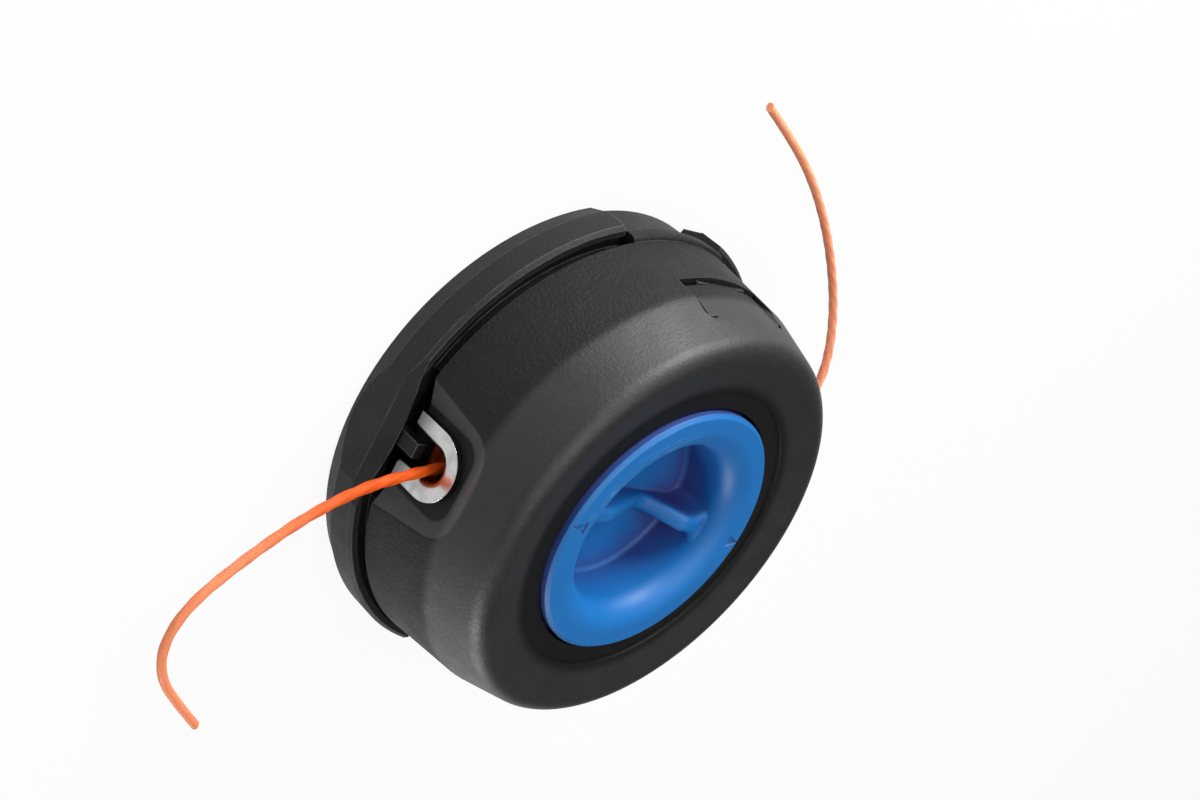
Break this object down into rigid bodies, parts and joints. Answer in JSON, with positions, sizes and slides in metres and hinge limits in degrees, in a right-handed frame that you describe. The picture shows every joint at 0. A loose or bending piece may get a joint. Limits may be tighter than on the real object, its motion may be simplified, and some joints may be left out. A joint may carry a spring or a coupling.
{
  "type": "manual feed trimmer head",
  "caption": "Round manual feed line trimmer head: a latched black bowl on a drive housing, a dished blue press knob, metal line eyelets and loose ends of trimmer line.",
  "frame": {"origin": "on the spindle axis, in the plane of the drive housing's resting rim", "axes": "+Z along the spindle axis towards the knob, +X towards the eyelet that the picture shows, +Y towards one latch"},
  "size_m": [0.1599, 0.1517, 0.045],
  "materials": {
    "black_plastic": "fine spark texture",
    "blue_plastic": "satin moulded",
    "eyelet_metal": "bright, lightly worn",
    "steel": "zinc plated",
    "washer_plastic": "plain",
    "spool_plastic": "plain",
    "line": "satin extruded"
  },
  "bodies": {
    "housing": {"drive_housing": "black_plastic", "hub_nut": "steel", "bowl_cover": "black_plastic", "eyelet_1": "eyelet_metal", "eyelet_2": "eyelet_metal", "thrust_washer": "washer_plastic", "line_end_1": "line", "line_end_2": "line"},
    "spool": {"spool": "spool_plastic", "winding_lower": "line", "winding_upper": "line", "spring_washer": "steel", "return_spring": "steel"},
    "knob": {"knob": "blue_plastic"}
  },
  "joints": [
    {"name": "spool_turn", "type": "hinge", "parent": "housing", "child": "spool", "pos_m": [0, 0, 0], "axis": [0, 0, 1], "continuous": true},
    {"name": "knob_press", "type": "slide", "parent": "spool", "child": "knob", "axis": [0, 0, -1], "range_m": [0, 0.004], "stiffness_N_per_m": 1500, "springref_m": -0.007, "deforming": ["return_spring"]}
  ]
}
